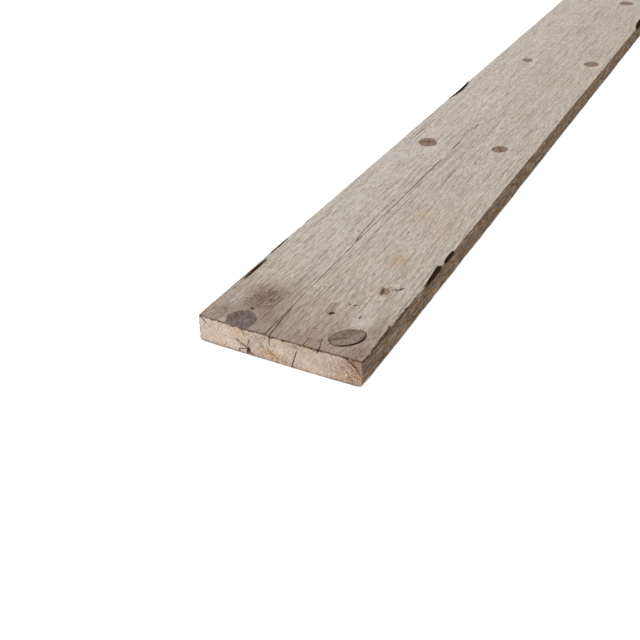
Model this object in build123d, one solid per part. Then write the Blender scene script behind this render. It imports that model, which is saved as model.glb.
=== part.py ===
from build123d import *
import math
import os

# Reclaimed pine scaffold plank: one sawn, cupped board with its separate dead knots and bark strips.
# Frame: X across the width, Y along the length, +Z up. The origin is under the middle of the plank, on the
# surface that it lies on. Stations are distances in millimetres from the near sawn end, at -Y.

# Driving dimensions, in millimetres
WIDTH = 195.0
THICKNESS = 31.0
LENGTH = 2500.0
CUP = 2.5  # how far the two edges rise above the middle of the underside
MIDDLE_EXTRA = 1.0  # the middle is this much thicker than the edges
REST_BAND = 56.0  # flat middle of the underside, on which the cupped plank lies
LOWER_ROUND = 2.0  # slightly worn lower edges
UPPER_ROUND = 1.5  # less worn upper edges

EDGE_TOP = CUP + THICKNESS
MIDDLE_TOP = THICKNESS + MIDDLE_EXTRA
HALF_WIDTH = WIDTH / 2
OVERSHOOT = 1.0  # how far a split's cutter stands out of the surface that it cuts
RUN_ON = 4.0  # how far a knot's plug stands out of the board before it is trimmed flush
WANE_SLOPE = math.radians(70)  # the wane faces outwards and mostly up

# Splits that follow the grain: (station, x, width, depth) along each one
SPLITS = {
    "main": [
        (-OVERSHOOT, -9.9, 1.3, 15.0),
        (33.0, -13.5, 1.0, 14.0),
        (64.0, -16.2, 0.9, 13.0),
        (198.0, -17.3, 0.8, 10.0),
        (420.0, -17.0, 0.8, 8.0),
        (760.0, -13.0, 0.3, 2.0),
    ],
    "beside": [
        (-OVERSHOOT, -15.8, 0.9, 8.0),
        (44.0, -16.4, 0.4, 3.0),
    ],
    "far": [
        (2080.0, 21.0, 0.3, 2.0),
        (2320.0, 23.5, 0.9, 10.0),
        (LENGTH + OVERSHOOT, 27.0, 1.6, 18.0),
    ],
}

# Knots that run right through the board: (station, x, top radius, bottom radius, lean in x, lean along y,
# oval, turn). The leans say how far the bottom of the knot lies from its top. The oval is how much longer
# the knot is along the grain than across it. The turn, in degrees, swings its long axis from +Y towards -X.
THROUGH_KNOTS = {
    "knot_small_near": (136.0, 62.0, 4.2, 3.4, -2.0, -2.5, 1.35, 22.0),
    "knot_whorl_2_left": (566.0, -58.0, 13.5, 10.0, 5.0, -7.0, 1.18, 12.0),
    "knot_whorl_2_right": (588.0, 47.0, 10.0, 12.5, -4.0, -6.0, 1.30, -24.0),
    "knot_whorl_3_left": (1022.0, -41.0, 9.0, 7.0, 4.0, -5.0, 1.10, 30.0),
    "knot_whorl_3_right": (1049.0, 71.0, 12.5, 9.5, -5.0, -7.0, 1.24, -10.0),
    "knot_whorl_4_left": (1534.0, -66.0, 8.5, 11.0, 3.0, -6.0, 1.32, 18.0),
    "knot_whorl_4_right": (1517.0, 36.0, 14.5, 11.0, -3.0, -8.0, 1.08, 0.0),
    "knot_whorl_5_left": (2046.0, -48.0, 12.0, 9.0, 4.0, -6.0, 1.16, -16.0),
    "knot_whorl_5_right": (2071.0, 68.0, 7.5, 6.0, -3.0, -4.0, 1.28, 26.0),
}

# The dead knot that the near sawn end cuts: a cone from the pith up to the top face
END_KNOT_STATION = 15.2
END_KNOT_X = -52.8
END_KNOT_RADIUS = 16.7
END_KNOT_OVAL = 1.17
PITH_STATION = -4.0
PITH_X = -36.0
PITH_HEIGHT = 8.0
PITH_RADIUS = 2.0

# The loose knot lies against the upper left of its own socket, which leaves a crescent gap
LOOSE_KNOT_STATION = 33.8
LOOSE_KNOT_X = 64.1
LOOSE_KNOT_TOP = 13.8
LOOSE_KNOT_BOTTOM = 11.0
LOOSE_KNOT_LEAN = (-3.0, -5.0)
LOOSE_KNOT_OVAL = 1.46
LOOSE_KNOT_TURN = -37.0
LOOSE_GAP = 1.1
LOOSE_SHIFT = (-0.7, 0.65)

# Wane on the upper edges, where the outside of the log shows: (station, length, depth, bark thickness)
RIGHT_WANE = {
    "bark_right_long": (190.0, 62.0, 2.0, 1.0),
    "bark_right_thin": (242.0, 42.0, 1.2, 0.7),
    "bark_right_far": (1388.0, 150.0, 3.0, 1.5),
}
LEFT_WANE = {
    "bark_left_far": (806.0, 110.0, 2.6, 1.4),
}
SLIVER_GROOVES = [  # (station, x, length, width, depth), inside the left edge
    (115.0, -92.6, 54.0, 3.4, 3.2),
    (176.0, -95.4, 46.0, 1.4, 2.2),
]


def at(station):
    """The y of a distance from the near sawn end."""
    return station - LENGTH / 2


def section():
    """The cupped cross-section, drawn looking along +Y."""
    half_band = REST_BAND / 2
    outline = [
        Line((-half_band, 0), (half_band, 0)),
        TangentArc((half_band, 0), (HALF_WIDTH, CUP), tangent=(1, 0)),
        Line((HALF_WIDTH, CUP), (HALF_WIDTH, EDGE_TOP)),
        ThreePointArc((HALF_WIDTH, EDGE_TOP), (0, MIDDLE_TOP), (-HALF_WIDTH, EDGE_TOP)),
        Line((-HALF_WIDTH, EDGE_TOP), (-HALF_WIDTH, CUP)),
        TangentArc((-half_band, 0), (-HALF_WIDTH, CUP), tangent=(-1, 0)),
    ]
    face = make_face(outline)
    edges = face.vertices().filter_by(lambda v: abs(v.X) > HALF_WIDTH - 1)
    lower = edges.filter_by(lambda v: v.Y < THICKNESS / 2)
    face = fillet(lower, LOWER_ROUND)
    edges = face.vertices().filter_by(lambda v: abs(v.X) > HALF_WIDTH - 1)
    upper = edges.filter_by(lambda v: v.Y > EDGE_TOP - 1)
    return fillet(upper, UPPER_ROUND)


def blank():
    """The whole plank as it left the saw, before any split, knot or wane."""
    far_end = Plane.XZ.offset(-LENGTH / 2)
    return extrude(far_end * section(), LENGTH)


def split(stations):
    """A wedge-shaped split, cut down from the top face along the grain."""
    wedges = []
    for station, x, width, depth in stations:
        half = width / 2
        outline = Polyline(
            (x - half, EDGE_TOP + OVERSHOOT),
            (x + half, EDGE_TOP + OVERSHOOT),
            (x + half, MIDDLE_TOP),
            (x, MIDDLE_TOP - depth),
            (x - half, MIDDLE_TOP),
            close=True,
        )
        wedges.append(Plane.XZ.offset(-at(station)) * make_face(outline))
    return loft(wedges, ruled=True)


def plug(base, top, base_radius, top_radius, oval, turn=0.0):
    """A tapered plug between two points, level and slightly oval at both ends, run on past the top."""
    steepness = RUN_ON / (top.Z - base.Z)
    centre = top + (top - base) * steepness
    radius = top_radius + (top_radius - base_radius) * steepness
    ends = [
        Plane(origin=point) * Rot(Z=turn) * Ellipse(across, across * oval)
        for point, across in ((base, base_radius), (centre, radius))
    ]
    return loft(ends)


def through_knot(station, x, top_radius, bottom_radius, lean_x, lean_y, oval, turn):
    """A knot that shows on the top face and on the underside."""
    top = Vector(x, at(station), EDGE_TOP)
    bottom = top + Vector(lean_x, lean_y, -EDGE_TOP)
    below = bottom + (bottom - top) * (RUN_ON / EDGE_TOP)
    below_radius = bottom_radius - (top_radius - bottom_radius) * RUN_ON / EDGE_TOP
    return plug(below, top, below_radius, top_radius, oval, turn)


def end_knot():
    """The knot that grows out of the pith and is cut through by the near end."""
    top = Vector(END_KNOT_X, at(END_KNOT_STATION), EDGE_TOP)
    pith = Vector(PITH_X, at(PITH_STATION), PITH_HEIGHT)
    return plug(pith, top, PITH_RADIUS, END_KNOT_RADIUS, END_KNOT_OVAL)


def scoop(station, length, depth, side):
    """A disc that takes a long shallow flat off an upper edge, deepest in its middle."""
    radius = (length / 2) ** 2 / (2 * depth)
    outward = Vector(side * math.cos(WANE_SLOPE), 0, math.sin(WANE_SLOPE))
    corner = Vector(side * HALF_WIDTH, at(station), EDGE_TOP)
    centre = corner + outward * (radius - depth)
    axis = Vector(side * math.sin(WANE_SLOPE), 0, -math.cos(WANE_SLOPE))
    return Plane(origin=centre, z_dir=axis) * Cylinder(radius, 12 * depth)


def groove(station, x, length, width, depth):
    """A narrow hollow along the grain, with a sliver of wood left standing outside it."""
    radius = ((length / 2) ** 2 + depth**2) / (2 * depth)
    centre = Vector(x, at(station), EDGE_TOP - depth + radius)
    return Plane(origin=centre, z_dir=(1, 0, 0)) * Cylinder(radius, width)


def save(name, shape):
    """Write one piece as parts/NAME.step."""
    solids = shape.solids()
    piece = solids[0] if len(solids) == 1 else Compound(children=list(solids))
    piece.label = name
    export_step(piece, f"parts/{name}.step")


def main():
    os.makedirs("parts", exist_ok=True)
    plank = blank()
    board = plank

    for stations in SPLITS.values():
        board -= split(stations)
    for hollow in SLIVER_GROOVES:
        board -= groove(*hollow)

    for side, wane in ((1, RIGHT_WANE), (-1, LEFT_WANE)):
        for name, (station, length, depth, bark) in wane.items():
            hollow = scoop(station, length, depth, side)
            # the bark lies on the bottom of the hollow, so it is what a shallower scoop leaves
            shorter = length * math.sqrt((depth - bark) / depth)
            outside = scoop(station, shorter, depth - bark, side)
            board -= hollow
            save(name, (plank & hollow) - outside)

    tight = {name: through_knot(*knot) for name, knot in THROUGH_KNOTS.items()}
    tight["knot_near_end"] = end_knot()
    for name, knot in tight.items():
        board -= knot
        save(name, plank & knot)

    socket = through_knot(
        LOOSE_KNOT_STATION,
        LOOSE_KNOT_X,
        LOOSE_KNOT_TOP + LOOSE_GAP,
        LOOSE_KNOT_BOTTOM + LOOSE_GAP,
        *LOOSE_KNOT_LEAN,
        (LOOSE_KNOT_TOP * LOOSE_KNOT_OVAL + LOOSE_GAP) / (LOOSE_KNOT_TOP + LOOSE_GAP),
        LOOSE_KNOT_TURN,
    )
    shift_x, shift_y = LOOSE_SHIFT
    knot = through_knot(
        LOOSE_KNOT_STATION + shift_y,
        LOOSE_KNOT_X + shift_x,
        LOOSE_KNOT_TOP,
        LOOSE_KNOT_BOTTOM,
        *LOOSE_KNOT_LEAN,
        LOOSE_KNOT_OVAL,
        LOOSE_KNOT_TURN,
    )
    board -= socket
    save("knot_near_loose", plank & knot)

    save("board", board)


main()
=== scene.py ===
from collections import namedtuple
import math

import bmesh
import bpy
import numpy as np
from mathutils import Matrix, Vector, geometry, kdtree


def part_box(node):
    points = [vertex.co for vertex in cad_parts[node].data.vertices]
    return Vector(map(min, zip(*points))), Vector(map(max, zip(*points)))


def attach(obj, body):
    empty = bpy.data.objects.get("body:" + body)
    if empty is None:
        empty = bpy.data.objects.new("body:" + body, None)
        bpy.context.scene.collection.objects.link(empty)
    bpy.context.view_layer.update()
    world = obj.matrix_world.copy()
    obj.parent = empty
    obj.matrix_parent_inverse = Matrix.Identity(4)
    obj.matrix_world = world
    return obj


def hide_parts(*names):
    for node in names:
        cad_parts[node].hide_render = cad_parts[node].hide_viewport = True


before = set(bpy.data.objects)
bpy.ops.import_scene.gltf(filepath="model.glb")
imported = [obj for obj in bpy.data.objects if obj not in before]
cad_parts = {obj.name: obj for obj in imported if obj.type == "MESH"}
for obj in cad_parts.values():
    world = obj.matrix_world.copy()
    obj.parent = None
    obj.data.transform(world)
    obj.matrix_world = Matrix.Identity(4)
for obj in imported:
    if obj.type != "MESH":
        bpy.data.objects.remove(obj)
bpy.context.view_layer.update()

# Everything below is worked out in millimetres: x across the plank from its middle, y along it from the near
# sawn end, and z upwards. to_frame turns them into the frame's metres.
MM = 0.001
board_low, board_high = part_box("board")
WIDTH = (board_high.x - board_low.x) / MM
LENGTH = (board_high.y - board_low.y) / MM
HALF_WIDTH = WIDTH / 2
THICKNESS = 31.0
CUP = 2.5
MIDDLE_TOP = 32.0
EDGE_TOP = CUP + THICKNESS
HALF_BAND = 28.0  # the underside is flat this far each side of the middle
UPPER_ROUND = 1.5
LOWER_ROUND = 2.0
WANE_SLOPE = math.radians(70)
WANE_X, WANE_Z = math.cos(WANE_SLOPE), math.sin(WANE_SLOPE)  # its outward direction
TONES_ABOVE = 15.0  # the height above which the top face's tones are stored
PITH = (-35.0, 8.1)  # x and height of the heart of the tree, on the near end

# The knots, with the shapes that the parts have: x and y at the top face, radius there and at the foot,
# lean from the top to the foot in x and along the plank, how oval, the turn of the long axis, and the height
# of the foot
Knot = namedtuple("Knot", "x y top_radius foot_radius lean_x lean_y oval turn foot", defaults=[0])
KNOTS = {
    "knot_near_loose": Knot(64.1, 33.8, 13.8, 11, -3, -5, 1.46, -37),
    "knot_small_near": Knot(62, 136, 4.2, 3.4, -2, -2.5, 1.35, 22),
    "knot_whorl_2_left": Knot(-58, 566, 13.5, 10, 5, -7, 1.18, 12),
    "knot_whorl_2_right": Knot(47, 588, 10, 12.5, -4, -6, 1.30, -24),
    "knot_whorl_3_left": Knot(-41, 1022, 9, 7, 4, -5, 1.10, 30),
    "knot_whorl_3_right": Knot(71, 1049, 12.5, 9.5, -5, -7, 1.24, -10),
    "knot_whorl_4_left": Knot(-66, 1534, 8.5, 11, 3, -6, 1.32, 18),
    "knot_whorl_4_right": Knot(36, 1517, 14.5, 11, -3, -8, 1.08, 0),
    "knot_whorl_5_left": Knot(-48, 2046, 12, 9, 4, -6, 1.16, -16),
    "knot_whorl_5_right": Knot(68, 2071, 7.5, 6, -3, -4, 1.28, 26),
    "knot_near_end": Knot(-52.8, 15.2, 16.7, 2, 16.8, -19.2, 1.17, 0, 8),
}
END_KNOT = "knot_near_end"
SMALL_KNOT = "knot_small_near"
LOOSE_KNOT = "knot_near_loose"
LOOSE_GAP = 1.1
TIGHT_GAP = 0.16
KNOT_INSET = 0.05  # a knot's mesh lies this far inside its own outline
KNOT_CRACKS_ABOVE = 20.0  # the height above which a knot shows its cracks
SHADED_WALLS_FROM = 0.6  # how far in from the near end the painted shade on the walls round the knots begins
END_CRACKS_TO = 5.0  # how far along the plank the cracks of the near end are looked for
LOOSE_SHIFT = (-0.7, 0.65)
CRESCENT = (0.79, -0.61)  # which way the open side of its socket faces, across and along the plank
SWIRL = (-51, 66)  # where the grain turns round a branch that doesn't reach the surface
LIVE_KNOT = (48, 208)  # a sound knot, one with the board

# Splits and checks on the top face: (y, x, width, depth) along each one
SPLITS = [
    [
        (-1, -9.9, 1, 13), (33, -13.5, 0.9, 12), (64, -16.2, 0.85, 10), (97, -17.2, 0.8, 9),
        (198, -17.3, 0.7, 8), (231, -18.2, 0.7, 6), (341, -17.3, 0.6, 5), (521, -16.6, 0.6, 4),
        (760, -13, 0.5, 0),
    ],
    [(-1, -15.6, 0.7, 6), (20, -16.2, 0.6, 4), (44, -16.4, 0.6, 3), (62, -16.9, 0.5, 0)],
    [
        (233, -18.8, 0.5, 0), (240, -20.6, 0.8, 3), (266, -23.2, 0.6, 3), (334, -25.4, 0.5, 2),
        (421, -25.6, 0.5, 0),
    ],
    [(213, -5.8, 0.5, 0), (251, -7, 0.6, 1.4), (331, -8.2, 0.5, 1), (381, -8.6, 0.5, 0)],
    [(64, 19.8, 0.5, 0), (73, 20, 0.7, 2), (89, 20.3, 0.7, 2), (95, 20.4, 0.5, 0)],
    [(73, 23, 0.5, 0), (79, 23, 0.6, 1.5), (91, 23.4, 0.6, 1.5), (94, 23.4, 0.5, 0)],
    [(-1, 29.4, 0.6, 1.2), (11, 28.7, 0.5, 0.8), (22, 28.4, 0.5, 0)],
    [(-1, 47.6, 0.8, 2), (8, 45.6, 0.6, 1.2), (19, 41.8, 0.7, 1.4), (31, 41, 0.5, 0.9), (45, 41.4, 0.5, 0)],
    [(2080, 21, 0.6, 0), (2320, 23.5, 1.2, 6), (2501, 27, 1.6, 12)],
    [(2390, -44, 0.7, 0), (2501, -47, 1.3, 7)],
]
# Small pits and torn chips: (x, y, half width, half length, depth, turn in degrees)
PITS = [
    (27.8, 69.6, 3.5, 2.3, 3, 35), (25.2, 67.6, 1.6, 0.9, 1.6, 0), (43.6, 95.6, 2, 1.2, 1.3, 20),
    (38, 94.6, 0.8, 3.2, 1, 0), (58.8, 75, 0.9, 3.4, 1.3, 0), (58.6, 81, 0.9, 1.2, 0.7, 0),
    (75, 148.6, 1.2, 1.8, 3.4, -20), (71.6, 144.6, 2.4, 0.9, 1.2, 40), (22.8, 313.4, 0.9, 2.4, 1.4, 0),
    (-27.6, 256.4, 1.2, 2, 1.3, 0), (-4.6, 116, 1, 1.4, 0.9, 0), (14.6, 41.4, 0.8, 1.3, 0.9, 0),
    (-53.3, 39.2, 2.6, 1.3, 1.1, -10), (-48.2, 44.2, 1.2, 1.2, 0.8, 0), (-39.6, 66, 0.7, 4.6, 0.7, 0),
    (-35, 52, 0.8, 2, 0.7, 0), (-58.6, 58.6, 1.6, 1, 0.7, -20), (-51, 70, 1.5, 1.2, 0.7, 0),
    (-48, 81, 1.6, 1.2, 0.6, 0), (-33.4, 86, 0.6, 3.4, 0.6, 0), (-19.2, 234.6, 0.8, 2.6, 1.4, 0),
    (0.4, 142.2, 0.7, 2.2, 0.8, 0), (-26.6, 38.6, 0.7, 1.4, 0.7, 0), (49, 64.4, 0.6, 1.6, 0.6, 0),
    (31.2, 54.6, 1.2, 0.8, 0.5, 0),
]
# Hollows along the upper left edge, with a pale sliver outside them: (y, x, half length, half width, depth)
HOLLOWS = [(115, -92.6, 27, 1.9, 3.4), (176, -95.3, 23, 0.9, 2.4), (241, -96.2, 16, 0.8, 2)]
# Wane along the upper edges, by the node of the bark on it: its side, and its lie as (y, half length, depth,
# how blunt its far end is)
WANES = {
    "bark_right_long": (1, (190, 31, 2, 1)),
    "bark_right_thin": (1, (242, 21, 1.2, 0.4)),
    "bark_right_far": (1, (1388, 75, 3, 0)),
    "bark_left_far": (-1, (806, 55, 2.6, 0)),
}
# Cracks on the near end: (x, height) along each one, with its width and depth
END_CRACKS = [
    ([(-44.4, 32.6), (-43.2, 29.5), (-41.6, 26.4), (-39.6, 23.2)], 0.75, 2.5),
    ([(-49, 16.2), (-44, 12.8), (-39, 9.9), (-35.5, 7), (-32, 3.6), (-30.6, 2)], 0.7, 2.5),
    ([(-47, 5), (-43, 6.3), (-38.6, 7)], 0.35, 1.2),
    ([(-36.2, 9.6), (-36.7, 12.6), (-35, 16.5), (-34.2, 20)], 0.45, 1.4),
    ([(-36.4, 5.8), (-37.2, 3.6), (-36.8, 1.8)], 0.6, 1.6),
    ([(16.6, 1.6), (18, 7.5), (20, 14.5), (22.2, 22)], 0.55, 3),
    ([(-94.2, 32), (-90.6, 29), (-87, 25.4)], 0.6, 2.2),
    ([(76.5, 31.6), (80.4, 30.6), (85.2, 27.2), (90, 22.4), (94, 17)], 0.5, 1.8),
    ([(45.8, 31.6), (46.4, 28.2)], 0.4, 1.4),
]
# Dark lines on the top face, and cracks in the knots: (x, y) along each one, half width, strength. Many of
# the lines lie over pits and splits as painted shade; the knots' cracks are painted shade and dirt on a flat
# face.
TOP_MARKS = [
    ([(-39.4, 60), (-38.6, 72)], 1, 0.75), ([(-34.2, 62), (-33.6, 74)], 0.8, 0.5),
    ([(-66, 50), (-62, 47.5), (-60.6, 52)], 1, 0.5), ([(-60.6, 42.6), (-62.6, 45)], 1, 0.6),
    ([(-52.6, 76), (-49.6, 79), (-46.6, 83)], 1, 0.6), ([(-49, 32), (-40, 24.4)], 0.9, 0.5),
    ([(-43.6, 54), (-40.6, 59)], 1.2, 0.6), ([(-47.6, 50), (-47, 56)], 1, 0.6),
    ([(56.8, 141.5), (57.6, 135), (60, 129)], 2.6, 0.72), ([(57.6, 142), (64, 143.6)], 1.4, 0.5),
    ([(65, 130), (70, 127)], 0.9, 0.35), ([(74.6, 147), (77.6, 151)], 1.6, 0.7),
    ([(36.6, 97), (37.4, 90)], 0.8, 0.5), ([(22.8, 91), (23.2, 83)], 0.8, 0.4),
    ([(29, 0), (28.6, 16)], 0.7, 0.6), ([(47.4, 0), (46, 7)], 1, 0.8),
    ([(25.8, 68), (29.6, 70.8)], 2.3, 0.9), ([(43, 95.2), (45, 96.4)], 1.5, 0.7),
    ([(75, 147.8), (76, 149.8)], 2.4, 0.92), ([(68, 143), (74, 147)], 1.9, 0.7),
    ([(-54.6, 39.4), (-51.6, 38.8)], 1.6, 0.8),
    ([(93.6, 73), (96, 66), (96.4, 58)], 1.6, 0.9), ([(96.2, 50), (96.6, 42)], 1.4, 0.9),
]
KNOT_CRACKS = {
    LOOSE_KNOT: [
        ([(49.6, 21.8), (54, 25), (57.6, 29.2), (63.4, 32)], 1.1, 0.75),
        ([(70, 33.6), (75.6, 32)], 0.7, 0.5),
        ([(76.8, 42.6), (77, 36)], 0.7, 0.55),
    ],
    END_KNOT: [
        ([(-66, 23), (-58, 20.4), (-54.6, 17)], 0.9, 0.5),
        ([(-62, 28), (-56, 22)], 0.7, 0.45),
        ([(-64, 13), (-58, 6)], 0.8, 0.45),
        ([(-46, 6), (-43, 0)], 0.8, 0.5),
        ([(-52, 30), (-46, 22)], 0.7, 0.4),
    ],
    SMALL_KNOT: [
        ([(57.4, 141), (58.4, 136), (60.4, 130)], 3, 0.62),
        ([(61, 142), (64, 139.5)], 1.6, 0.5),
        ([(60, 136), (62, 133), (65, 131)], 1, 0.35),
    ],
    "knot_whorl_2_left": [
        ([(-66, 560), (-52, 572)], 1.3, 0.8),
        ([(-60, 577), (-56, 563)], 1, 0.7),
    ],
    "knot_whorl_2_right": [([(42, 596), (52, 580)], 1.2, 0.8)],
}
# Soft patches of tone: (strength, x, y, reach along x, reach along y), with heights for y on the near end
STAINS = [
    (0.40, 84, 56, 8, 10), (0.30, -79, 26, 5, 9), (0.12, *LIVE_KNOT, 11, 15), (0.60, 62, 135, 6, 8),
    (0.45, -19, 236, 3, 12), (0.7, -93.5, 116, 3, 30), (0.35, 88, 12, 7, 16),
]
BLEACHED = [
    (1, 68, 64, 10, 12), (0.7, -77, 50, 9, 14), (0.7, -68, 5, 7, 6), (0.5, 60, 95, 8, 40),
    (0.4, -30, 12, 5, 10), (0.4, 88, 36, 5, 10),
]
WARMED = [(0.85, *LIVE_KNOT, 8, 13), (0.5, 30, 330, 9, 22), (0.4, 66, 300, 8, 30)]
RESIN = [(0.35, 82, 10, 12, 7), (0.30, 38, 6, 6, 3)]
OLIVE = [(0.65, -46, 20, 7, 6), (0.5, 32, 26, 7, 4), (0.3, 12, 26, 9, 4)]
COARSE = [
    (1, -6, 8.5, 15, 6), (0.95, 82, 12, 16, 10), (1, 88, 27, 11, 7), (0.8, 18, 28, 8, 3.5),
    (0.85, -20, 21, 10, 8),
]


# Numbers that vary from place to place


def lattice(ix, iy, seed):
    """A repeatable random number from -1 to 1 for each whole-number point."""
    h = (ix * 374761393 + iy * 668265263 + seed * 1442695041) & 0xFFFFFFFF
    h = ((h ^ (h >> 13)) * 1274126177) & 0xFFFFFFFF
    return ((h ^ (h >> 16)) & 0xFFFF) / 32767.5 - 1.0


def noise(x, y, seed):
    """Smooth value noise, from -1 to 1."""
    x, y = np.broadcast_arrays(np.asarray(x, float), np.asarray(y, float))
    ix = np.floor(x).astype(np.int64)
    iy = np.floor(y).astype(np.int64)
    u = x - ix
    v = y - iy
    u = u * u * (3 - 2 * u)
    v = v * v * (3 - 2 * v)
    near = lattice(ix, iy, seed) * (1 - u) + lattice(ix + 1, iy, seed) * u
    far = lattice(ix, iy + 1, seed) * (1 - u) + lattice(ix + 1, iy + 1, seed) * u
    return near * (1 - v) + far * v


def wave(along, seed, row=0.5):
    """Noise that varies in one direction only."""
    return noise(along, row, seed)


def layered(x, y, seed, octaves=3):
    """Noise with finer and weaker noise on top of it."""
    total = 0.0
    for k in range(octaves):
        total = total + noise(x * 2**k, y * 2**k, seed + k) * 0.5**k
    return total / (2 - 0.5 ** (octaves - 1))


def unit(value):
    """A value held between nought and one."""
    return np.clip(value, 0, 1)


def smooth(low, high, value):
    """Nought below low, one above high, and a smooth step between them."""
    t = unit((value - low) / (high - low))
    return t * t * (3 - 2 * t)


def blob(x, y, cx, cy, rx, ry):
    """A soft round patch, one in its middle."""
    return np.exp(-(((x - cx) / rx) ** 2) - ((y - cy) / ry) ** 2)


def patches(x, y, rows):
    """The soft patches of a list, added up."""
    return sum(strength * blob(x, y, *place) for strength, *place in rows)


def distance_to(x, y, path):
    """Distance to the nearest point of a line through the points of a path."""
    nearest = np.full(np.shape(x), 1e3)
    for (ax, ay), (bx, by) in zip(path[:-1], path[1:]):
        length = (bx - ax) ** 2 + (by - ay) ** 2
        t = unit(((x - ax) * (bx - ax) + (y - ay) * (by - ay)) / length)
        nearest = np.minimum(nearest, np.hypot(x - ax - t * (bx - ax), y - ay - t * (by - ay)))
    return nearest


def path_mask(x, y, path, half_width):
    """One on a path, falling to nought half_width away from it."""
    return smooth(half_width, 0.35 * half_width, distance_to(x, y, path))


def turned(across, along, degrees):
    """The parts of a distance along axes that are swung by this much from +X towards +Y."""
    c, s = math.cos(math.radians(degrees)), math.sin(math.radians(degrees))
    return across * c + along * s, along * c - across * s


def lines(start, *runs):
    """Grid lines from start, with (end, spacing) for each run."""
    out = [np.array([start])]
    for end, spacing in runs:
        count = max(1, round(abs(end - start) / spacing))
        out.append(np.linspace(start, end, count + 1)[1:])
        start = end
    return np.concatenate(out)


# The surface of the board


def underside(x):
    reach = HALF_WIDTH - HALF_BAND
    radius = (reach**2 + CUP**2) / (2 * CUP)
    past = np.maximum(np.abs(x) - HALF_BAND, 0)
    return radius - np.sqrt(radius**2 - past**2)


def topside(x):
    rise = EDGE_TOP - MIDDLE_TOP
    radius = (HALF_WIDTH**2 + rise**2) / (2 * rise)
    return MIDDLE_TOP + radius - np.sqrt(radius**2 - np.minimum(np.abs(x), HALF_WIDTH) ** 2)


def flow(x, y):
    """x, shifted so that lines of equal value run round the knots as the grain does."""
    shifted = np.array(x, float)
    for knot in KNOTS.values():
        reach = knot.top_radius
        dx = x - knot.x
        dy = (y - knot.y) * 0.7 / knot.oval
        far = np.maximum(dx**2 + dy**2, (0.9 * reach) ** 2)
        shifted = shifted - dx * reach**2 / far * np.exp(-far / (2.6 * reach) ** 2)
    shifted = shifted + 21.0 * blob(x, y, *SWIRL, 15.0, 20.25)
    return shifted + 10.0 * blob(x, y, *LIVE_KNOT, 12.0, 16.2)


def rings(x, y, z):
    """Distance from the heart of the tree, in millimetres: one growth ring is where this is constant."""
    wander_x = PITH[0] + 9.0 * (wave(y / 700.0, 21) - wave(0.0, 21))
    wander_z = PITH[1] + 7.0 * (wave(y / 800.0, 22) - wave(0.0, 22))
    wobble = 1.1 * layered(x / 30.0, y / 260.0, 23, 2) + 0.35 * noise(x / 7.0, z / 7.0, 24)
    return np.hypot(flow(x, y) - wander_x, 1.15 * (z - wander_z)) + wobble


def split_depth(x, y):
    deepest = np.zeros_like(x)
    for k, path in enumerate(SPLITS):
        at, centre, width, depth = np.array(path, float).T
        middle = np.interp(y, at, centre) + 0.22 * wave(y / 9.0, 31 + k)
        half = np.interp(y, at, width) / 2 * (1 + 0.35 * wave(y / 5.0, 51 + k))
        deep = np.interp(y, at, depth) * ((y >= at[0]) & (y <= at[-1]))
        wall = unit(1 - np.abs(x - middle) / half) ** 0.6
        deepest = np.maximum(deepest, deep * wall)
    return deepest


def pit_depth(x, y):
    deepest = np.zeros_like(x)
    for cx, cy, half_x, half_y, depth, turn in PITS:
        across, along = turned(x - cx, y - cy, turn)
        edge = np.hypot(across / half_x, along / half_y) + 0.35 * noise(x / 1.3, y / 1.3, 61)
        deepest = np.maximum(deepest, depth * smooth(1.1, 0.5, edge))
    for at, cx, half_y, half_x, depth in HOLLOWS:
        taper = unit(1 - ((y - at) / half_y) ** 2)
        across = np.abs(x - cx - 0.5 * wave(y / 14.0, 62))
        share = across / (half_x * (0.35 + 0.65 * taper) + 0.01)
        deepest = np.maximum(deepest, depth * taper**0.6 * smooth(1.15, 0.7, share))
    return deepest


def worn_ends(y, near, far):
    """One at the sawn ends, easing to nought this far from the near one and this far from the other."""
    return unit(1 - y / near) ** 2 + unit(1 - (LENGTH - y) / far) ** 2


def top_relief(x, y):
    """How far the top face lies below the sawn surface, as a negative number."""
    fibres = 0.09 * noise(x / 1.5, y / 17.0, 71) + 0.08 * noise(x / 0.9, y / 6.0, 72)
    swell = 0.16 * noise(x / 17.0, y / 150.0, 73) + 0.07 * noise(x / 4.0, y / 9.0, 76)
    # the harder, darker wood of each ring stands a little proud once the weather has had the rest
    ridges = 0.04 + 0.04 * np.cos(2 * math.pi * rings(x, y, topside(x)) / 3.1)
    ragged = unit(1 - y / (2.2 + 1.3 * wave(x / 2.2, 74)))
    torn = 1.25 * ragged**1.5 * smooth(-0.2, 0.8, wave(x / 1.6, 75, 3.5) + 0.5 * wave(x / 5.0, 77, 6.5))
    far_end = 0.9 * unit(1 - (LENGTH - y) / 2.5) ** 2
    relief = -0.38 + fibres + swell + ridges - torn - far_end
    relief = relief - split_depth(x, y) - pit_depth(x, y)
    return np.minimum(relief, -0.02)


def side_relief(z, y, side):
    seed = 81 if side > 0 else 91
    fibres = 0.22 * noise(z / 1.8, y / 26.0, seed) + 0.12 * noise(z / 1.2, y / 7.0, seed + 1)
    swell = 0.35 * noise(z / 9.0, y / 60.0, seed + 2)
    torn = 0.8 * smooth(0.35, 0.75, noise(z / 3.0, y / 9.0, seed + 3))
    worn = 0.5 + 0.5 * wave(y / 45.0, seed + 4)
    return np.minimum(-0.42 + fibres + swell - torn - 0.35 * worn - 0.7 * worn_ends(y, 2.6, 3), -0.05)


def bottom_relief(x, y):
    fibres = 0.12 * noise(x / 6.0, y / 40.0, 101)
    return np.minimum(-0.14 + fibres - 0.3 * worn_ends(y, 2, 2), -0.02)


def lower_wear(y):
    """The radius that the lower edges are worn to: a little along the plank and more at its corners."""
    from_end = np.minimum(y, LENGTH - y)
    return 1.6 + 0.6 * wave(y / 14.0, 103) + 4.2 * smooth(13, 0, from_end)


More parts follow.
